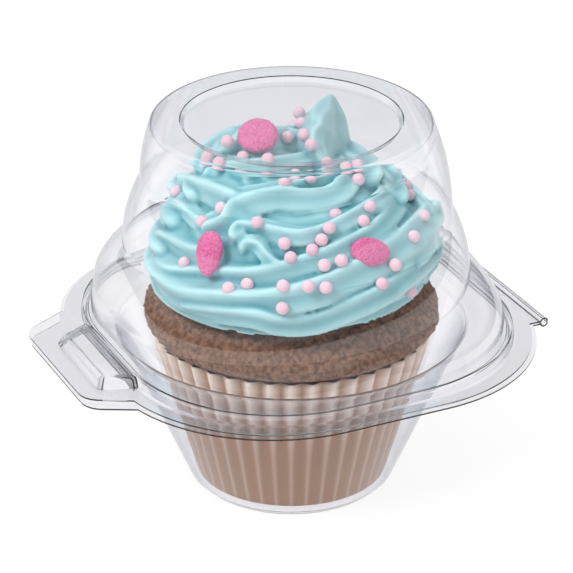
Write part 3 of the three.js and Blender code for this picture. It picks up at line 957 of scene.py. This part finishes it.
@dataclass
class Cupcake:
    """Paper case, sponge, piped frosting and sugar decorations."""

    grain: bpy.types.NodeTree

    # Paper case
    fold_columns: int = 12
    case_rows: int = 30
    fold_sharpness: float = 0.96
    case_lift: float = 0.3
    rim_dip: float = 0.5
    # Painted shade: how dark the pleat valleys and the foot of the case are painted
    crease_shade: float = 0.7
    foot_shade: float = 0.75
    shade_span: tuple[float, float] = (0.4, 0.95)

    # Sponge
    crown_columns: int = 300
    crumb_depth: float = 0.7
    lump_depth: float = 0.6
    crumb_sink: float = 0.35
    crumb_fade: float = 2.0

    # Frosting
    core_inset: float = 1.1
    lip_rise: float = 4.2
    lip_fade: float = 13.0
    lip_reach: tuple[float, float] = (12.0, 26.0)
    rope_lobes: int = 4
    rope_groove: float = 0.22
    leaf_lobes: int = 3
    leaf_groove: float = 0.3
    rope_twist: float = 0.012
    back_span: tuple[float, float] = (58.0, 262.0)
    back_radius: float = 35.8
    back_height: float = 37.2
    back_inset: float = 2.6
    back_half_width: float = 4.3
    voxel: float = 0.42
    quick_voxel: float = 0.9

    # Pearls: share of the radius that stands out of the frosting
    pearl_sunk: float = 0.75
    pearl_resting: float = 0.85

    def case(self) -> bpy.types.Object:
        """Pleated paper case: soft zigzag folds that deepen towards the rim, with painted shade in the pleat
        valleys and towards the foot.
        """
        columns, rows = PLEATS * self.fold_columns, self.case_rows
        foot = CASE_BOTTOM + self.case_lift
        points, shade = [], []
        for i in range(columns):
            angle = 2 * math.pi * i / columns
            fold = math.asin(self.fold_sharpness * math.cos(PLEATS * angle)) / math.asin(self.fold_sharpness)
            rise = CASE_HEIGHT - self.case_lift - self.rim_dip * (1 - fold) / 2
            for j in range(rows):
                share = j / (rows - 1)
                swing = PLEAT_DEPTH / 2 * min(1.0, share * CASE_HEIGHT / (CASE_HEIGHT - PLEAT_START))
                radius = lerp(CASE_FOOT_RADIUS, CASE_RIM_RADIUS, share) + fold * swing - PAPER
                points.append((radius * math.cos(angle), radius * math.sin(angle), foot + rise * share))
                # Painted shade: the pleat valleys and the lower case take more of the darker second colour
                low = 1 - smoothstep(share, *self.shade_span)
                shade.append(self.crease_shade * (1 - fold) / 2 + self.foot_shade * low)
        points.append((0, 0, foot))
        faces = grid_faces(columns, rows, wrap=True)
        faces += [(len(points) - 1, i * rows, ((i + 1) % columns) * rows) for i in range(columns)]
        obj = mesh_object("case", np.array(points), faces)
        # This attribute holds the painted shade of the pleat valleys and the foot, not a depth
        painted_shade_mask = obj.data.attributes.new("depth", "FLOAT", "POINT")
        painted_shade_mask.data.foreach_set("value", np.clip([*shade, 1.0], 0, 1).astype(np.float32))
        tidy(obj)
        thick = obj.modifiers.new("paper", "SOLIDIFY")
        thick.thickness = PAPER * MM
        thick.offset = 0
        settle(obj)
        return hand_over(obj, opaque(CASE, self.grain, 0.12, "depth"), "case_paper", Body.BASE, "paper_case")

    def sponge_profile(self) -> Profile:
        """Radius and height pairs from the sponge's foot up over its crown."""
        neck = CASE_RIM_RADIUS - PLEAT_DEPTH / 2 - GAP - PAPER
        foot, crown = CASE_BOTTOM + 1, CASE_TOP + CROWN_DROP
        profile = [(0.0, foot), (CASE_FOOT_RADIUS - 2.5, foot), (neck - 0.4, CASE_TOP - 0.5)]
        for k in range(1, 10):
            turn = math.pi / 2 * k / 10
            height = lerp(CASE_TOP + 0.3, crown, 1 - math.cos(turn))
            profile.append((lerp(neck, CROWN_RADIUS, math.sin(turn)), height))
        for k in range(61):
            share = math.cos(math.pi / 2 * k / 60)
            rise = (1 - share**2.6) ** 0.8
            profile.append((CROWN_RADIUS * share, lerp(crown, CASE_TOP + CROWN_RISE, rise)))
        return profile

    def sponge(self) -> bpy.types.Object:
        """Sponge with a crumbly crown over the rim of the case."""
        profile = self.sponge_profile()
        points = []
        for i in range(self.crown_columns):
            angle = 2 * math.pi * i / self.crown_columns
            out = Vector((math.cos(angle), math.sin(angle), 0.5)).normalized()
            for r, z in profile:
                at = Vector((r * math.cos(angle), r * math.sin(angle), z))
                free = smoothstep(z, CASE_TOP, CASE_TOP + self.crumb_fade)
                crumb = noise.fractal(at * 0.6, 0.7, 2.2, 5) * self.crumb_depth
                crumb += noise.noise(at * 0.12) * self.lump_depth
                points.append(tuple(at + out * (crumb - self.crumb_sink) * free))
        faces = grid_faces(self.crown_columns, len(profile), wrap=True)
        obj = mesh_object("sponge", np.array(points), faces)
        tidy(obj)
        return hand_over(obj, opaque(SPONGE, self.grain, 0.75), "sponge", Body.BASE, "sponge_cake")

    def back_path(self, low: float, high: float) -> Path:
        """Path of a rope round the back.

        Args:
            low: height at its right end.
            high: height at its left end.

        Returns:
            Points with the half width at each.
        """
        path = []
        for k in range(13):
            angle, height = math.radians(lerp(*self.back_span, k / 12)), lerp(low, high, k / 12)
            share = max(0.0, height - FROSTING_EDGE) / self.back_height
            radius = self.back_radius * (1 - share**2.3) ** 0.66 - self.back_inset
            path.append((radius * math.cos(angle), radius * math.sin(angle), height, self.back_half_width))
        return path

    def frosting(self) -> bpy.types.Object:
        """Piped frosting: star-shaped ropes joined into one soft body."""
        paths = {rope.name: [(*p, rope.radius) for p in rope.points] for rope in FRONT_ROPES}
        paths |= {f"back_{number}": self.back_path(*ends) for number, ends in enumerate(BACK_ROPES)}
        parts = [self.core()]
        parts += [self.rope(name, path, self.rope_lobes, self.rope_groove) for name, path in paths.items()]
        parts.append(self.rope("leaf", LEAF_ROPE, self.leaf_lobes, self.leaf_groove))
        bpy.ops.object.select_all(action="DESELECT")
        for part in parts:
            part.select_set(True)
        bpy.context.view_layer.objects.active = parts[0]
        bpy.ops.object.join()
        obj = parts[0]
        obj.name = "icing"
        step = obj.modifiers.new("one", "REMESH")
        step.mode = "VOXEL"
        step.voxel_size = self.voxel * MM
        settle(obj)
        self.soften(obj)
        # The hollow attribute carries the frosting's painted shade in its hollows and painted light on its
        # ridges
        return hand_over(obj, opaque(ICING, self.grain, 0.0, "hollow"), "frosting", Body.BASE, "frosting")

    def core(self) -> bpy.types.Object:
        """Body under the ropes: the CAD frosting, drawn in, with its lower lip raised."""
        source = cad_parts["frosting"].data
        obj = bpy.data.objects.new("core", source.copy())
        bpy.context.scene.collection.objects.link(obj)
        tidy(obj, 1e-5)
        obj.data.materials.clear()
        for vertex, normal in [(v, v.normal.copy()) for v in obj.data.vertices]:
            if vertex.co.z > (FROSTING_EDGE - 1) * MM:
                vertex.co -= normal * self.core_inset * MM
            low = 1 - smoothstep(vertex.co.z / MM, FROSTING_EDGE, FROSTING_EDGE + self.lip_fade)
            outer = smoothstep(math.hypot(vertex.co.x, vertex.co.y) / MM, *self.lip_reach)
            vertex.co.z += self.lip_rise * low * outer * MM
        return obj

    def spline(self, path: Path, steps: int = 12) -> np.ndarray:
        """Smooth curve through the points of a path.

        Args:
            path: points with the half width at each.
            steps: rows between two points.

        Returns:
            Rows of x, y, z and half width.
        """
        knots = np.array(path, float)
        knots = np.vstack([2 * knots[0] - knots[1], knots, 2 * knots[-1] - knots[-2]])
        rows = []
        for a, b, c, d in zip(knots, knots[1:], knots[2:], knots[3:]):
            bend, twist = 2 * a - 5 * b + 4 * c - d, 3 * b - a - 3 * c + d
            for t in np.linspace(0, 1, steps, endpoint=False):
                rows.append(0.5 * (2 * b + (c - a) * t + bend * t**2 + twist * t**3))
        return np.array([*rows, knots[-2]])

    def rope(self, name: str, path: Path, lobes: int, depth: float) -> bpy.types.Object:
        """Sweeps a lobed section along a path.

        Args:
            name: name of the rope.
            path: points with the half width at each.
            lobes: number of ridges round the section.
            depth: depth of the grooves as a share of the half width.

        Returns:
            A closed mesh object with rounded ends.
        """
        curve = self.spline(path)
        side = 24 * lobes // 3
        points = []
        for n, row in enumerate(curve):
            ahead = curve[min(n + 1, len(curve) - 1)][:3] - curve[max(n - 1, 0)][:3]
            ahead /= np.linalg.norm(ahead) + 1e-9
            out = np.array([row[0], row[1], 8.0])
            out -= ahead * out.dot(ahead)
            out /= np.linalg.norm(out) + 1e-9
            across = np.cross(ahead, out)
            ends = min(n, len(curve) - 1 - n) / 6
            taper = math.sqrt(max(0.02, 1 - (1 - min(1.0, ends)) ** 2))
            for k in range(side):
                turn = 2 * math.pi * k / side
                lobe = 1 + depth * (1 - 2 * abs(math.sin(lobes * (turn + self.rope_twist * n) / 2)))
                reach = row[3] * taper * lobe
                points.append(row[:3] + (out * math.cos(turn) + across * math.sin(turn)) * reach)
        count = len(curve)
        faces = [
            (i * side + k, i * side + (k + 1) % side, (i + 1) * side + (k + 1) % side, (i + 1) * side + k)
            for i in range(count - 1)
            for k in range(side)
        ]
        faces += [tuple(reversed(range(side))), tuple(range((count - 1) * side, count * side))]
        obj = mesh_object(name, np.array(points), faces)
        tidy(obj)
        return obj

    def soften(self, obj: bpy.types.Object) -> None:
        """Smooths the joined ropes, keeps them under the lid and marks hollows and ridges for painted shade
        and painted light.

        Args:
            obj: the joined frosting, changed in place.
        """
        mesh = obj.data
        count = len(mesh.vertices)
        points = np.empty(count * 3)
        mesh.vertices.foreach_get("co", points)
        points = points.reshape(-1, 3)
        edges = np.empty(len(mesh.edges) * 2, dtype=np.int64)
        mesh.edges.foreach_get("vertices", edges)
        edges = edges.reshape(-1, 2)
        ends = np.concatenate([edges[:, 0], edges[:, 1]])
        others = np.concatenate([edges[:, 1], edges[:, 0]])
        degree = np.maximum(1, np.bincount(ends, minlength=count))[:, None]

        def relaxed(values: np.ndarray, steps: int) -> np.ndarray:
            """Draws each value towards the mean of its neighbours, some times."""
            for _ in range(steps):
                sums = [np.bincount(ends, column[others], count) for column in values.T]
                values = values + 0.5 * (np.stack(sums, 1) / degree - values)
            return values

        points = relaxed(points, 3)
        knee = (FROSTING_CEILING - 1) * MM
        over = points[:, 2] > knee
        points[over, 2] = knee + MM * np.tanh((points[over, 2] - knee) / MM)
        mesh.vertices.foreach_set("co", points.reshape(-1))
        mesh.update()
        normals = np.empty(count * 3)
        mesh.vertices.foreach_get("normal", normals)
        # Painted shade and light: hollows take more of the darker second colour, ridges less
        depth = ((relaxed(points, 30) - points) * normals.reshape(-1, 3)).sum(1) / MM
        depth = relaxed(depth[:, None], 3)[:, 0]
        painted_shade_mask = mesh.attributes.new("hollow", "FLOAT", "POINT")
        painted_shade_mask.data.foreach_set("value", np.clip(0.4 + depth * 1.5, 0, 1).astype(np.float32))

    def candy(self, item: Candy, material: bpy.types.Material) -> bpy.types.Object:
        """Sugar candy: a grainy pillow at the place of its CAD node.

        Args:
            item: shape and facing of the candy.
            material: its material.

        Returns:
            The candy.
        """
        angle, tilt = (math.radians(v) for v in item.face)
        level = math.cos(tilt)
        facing = Vector((level * math.cos(angle), level * math.sin(angle), math.sin(tilt)))
        lean = Vector((0, 0, 1)).rotation_difference(facing).to_matrix()
        turn = lean @ Matrix.Rotation(math.radians(item.roll), 3, "Z")
        low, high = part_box(item.node)
        centre = (Vector(low) + Vector(high)) / 2 / MM - Vector((0, AXIS_SHIFT, 0))
        columns, rows = 96, 49
        points = []
        for i in range(columns):
            around = 2 * math.pi * i / columns
            for j in range(rows):
                down = math.pi * j / (rows - 1)
                x, y = math.sin(down) * math.cos(around), math.sin(down) * math.sin(around)
                z = math.copysign(abs(math.cos(down)) ** 0.75, math.cos(down))
                y *= 1 - item.taper * (x / 2 + 0.5)
                local = Vector((x * item.length, y * item.width, z * CANDY_THICKNESS)) / 2
                grain = noise.fractal((local + Vector((9, 3, 5))) * 1.9, 0.6, 2.1, 4) * 0.09
                points.append(tuple(centre + turn @ (local * (1 + grain * 0.5))))
        obj = mesh_object(f"sugar_{item.node}", np.array(points), grid_faces(columns, rows, wrap=True))
        tidy(obj)
        return hand_over(obj, material, "candy", Body.BASE, item.node)

    def pearls(self, icing: bpy.types.Object) -> None:
        """Sets each sugar pearl on the frosting where its CAD node stands.

        Args:
            icing: the finished frosting.
        """
        graph = bpy.context.evaluated_depsgraph_get()
        tree = BVHTree.FromObject(icing, graph)
        material = opaque(PEARL, self.grain, 0.0)
        eye = Vector(CAMERA_PLACE)
        for node in sorted(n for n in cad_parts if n.startswith("pearl_")):
            low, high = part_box(node)
            centre = (Vector(low) + Vector(high)) / 2
            sight = (centre - eye).normalized()
            hit, normal, _, _ = tree.ray_cast(centre - sight * 0.03, sight, 0.06)
            if hit is None or (hit - centre).length > 0.006:
                hit, normal, _, _ = tree.find_nearest(centre)
                place = hit + normal * PEARL_RADIUS * self.pearl_resting * MM
            else:
                place = hit - sight * PEARL_RADIUS * self.pearl_sunk * MM
            mesh = bpy.data.meshes.new(f"sugar_{node}")
            ball = bmesh.new()
            at = Matrix.Translation(place)
            bmesh.ops.create_icosphere(ball, subdivisions=3, radius=PEARL_RADIUS * MM, matrix=at)
            ball.to_mesh(mesh)
            ball.free()
            obj = bpy.data.objects.new(f"sugar_{node}", mesh)
            bpy.context.scene.collection.objects.link(obj)
            hand_over(obj, material, "pearl", Body.BASE, node)


@dataclass
class Studio:
    """Camera, lamps, sky and the white ground."""

    def camera(self) -> None:
        """Places the camera as the photograph was framed."""
        data = bpy.data.cameras.new("camera")
        data.sensor_width = 36.0
        data.lens = 18.0 / math.tan(math.radians(CAMERA_FIELD / 2))
        obj = bpy.data.objects.new("camera", data)
        obj.location = CAMERA_PLACE
        way = Vector(CAMERA_TARGET) - Vector(CAMERA_PLACE)
        obj.rotation_euler = way.to_track_quat("-Z", "Y").to_euler()
        data.clip_start, data.clip_end = 0.01, 20.0
        bpy.context.scene.collection.objects.link(obj)
        bpy.context.scene.camera = obj

    def lamp(self, name: str, place: Sequence[float], size: float, watts: float) -> None:
        """Adds an area lamp that looks at the cupcake.

        Args:
            name: name of the lamp.
            place: where it stands, in metres.
            size: width of its square, in metres.
            watts: its power.
        """
        data = bpy.data.lights.new(name, "AREA")
        data.size = size
        data.energy = watts
        obj = bpy.data.objects.new(name, data)
        obj.location = place
        obj.rotation_euler = (Vector((0, 0, 0.05)) - Vector(place)).to_track_quat("-Z", "Y").to_euler()
        obj.visible_glossy = False
        obj.visible_transmission = False
        bpy.context.scene.collection.objects.link(obj)

    def sky(self) -> None:
        """White behind the box, and a grey studio with soft bands in reflections."""
        world = bpy.data.worlds.new("studio")
        world.use_nodes = True
        bpy.context.scene.world = world
        tree = Tree(world.node_tree)
        place = tree.add("TexCoord")
        split = tree.add("SeparateXYZ", {"Vector": place.outputs["Generated"]})
        level = tree.math("MULTIPLY_ADD", split.outputs["Z"], 0.5, 0.5)
        ramp = tree.add("ValToRGB", {"Fac": level})
        while len(ramp.color_ramp.elements) < len(SKY_BANDS):
            ramp.color_ramp.elements.new(0.5)
        for element, (position, value) in zip(ramp.color_ramp.elements, SKY_BANDS):
            element.position = position
            element.color = (value, value, value * SKY_COOLNESS, 1.0)
        path = tree.add("LightPath").outputs
        seen = tree.math("MULTIPLY_ADD", path["Is Diffuse Ray"], DIFFUSE_SKY, path["Is Camera Ray"])
        either = tree.math("MAXIMUM", path["Is Camera Ray"], path["Is Diffuse Ray"])
        plain = tree.add("CombineColor", {channel: seen for channel in ("Red", "Green", "Blue")})
        colour = tree.mix(either, ramp.outputs["Color"], plain.outputs["Color"])
        tree.feed(world.node_tree.nodes["Background"], {"Color": colour, "Strength": 1.0})

    def ground(self) -> None:
        """White ground that keeps a faint shadow."""
        material, tree, bsdf = new_material("ground")
        tree.feed(
            bsdf,
            {
                "Base Color": (GROUND_SHADE, GROUND_SHADE, GROUND_SHADE, 1.0),
                "Roughness": 1.0,
                "Specular IOR Level": 0.0,
                "Emission Color": (1.0, 1.0, 1.0, 1.0),
                "Emission Strength": GROUND_GLOW,
            },
        )
        half = 4000.0
        corners = np.array([(x * half, y * half, -0.05) for x, y in ((-1, -1), (1, -1), (1, 1), (-1, 1))])
        floor = mesh_object("floor", corners, [(0, 1, 2, 3)])
        floor.data.materials.append(material)

    def build(self) -> None:
        """Sets up everything round the object."""
        self.camera()
        self.sky()
        self.ground()
        self.lamp("key", (0.1, -0.8, 0.95), 0.45, 11.0)
        self.lamp("fill", (1.0, 0.4, 0.5), 0.7, 2.5)
        self.lamp("top", (-0.2, 0.1, 1.1), 0.6, 4.0)
        bpy.context.scene.view_settings.view_transform = "Standard"


def main() -> None:
    """Builds the looks of the box and the cupcake."""
    logging.basicConfig(level=logging.INFO, format="%(name)s: %(message)s")
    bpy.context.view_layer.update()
    Studio().build()
    grain = grain_group()
    cupcake = Cupcake(grain)
    cupcake.case()
    cupcake.sponge()
    icing = cupcake.frosting()
    sugar = opaque(SUGAR, grain, 0.6)
    for item in CANDIES:
        cupcake.candy(item, sugar)
    cupcake.pearls(icing)
    box = Clamshell()
    # The edge colour is the sheet's tint, deepened into painted dark edge lines
    sheet = clear_sheet("clear_pet", (248, 248, 251), (96, 102, 128))
    box.base(sheet)
    box.lid(sheet)


if __name__ == "__main__":
    main()
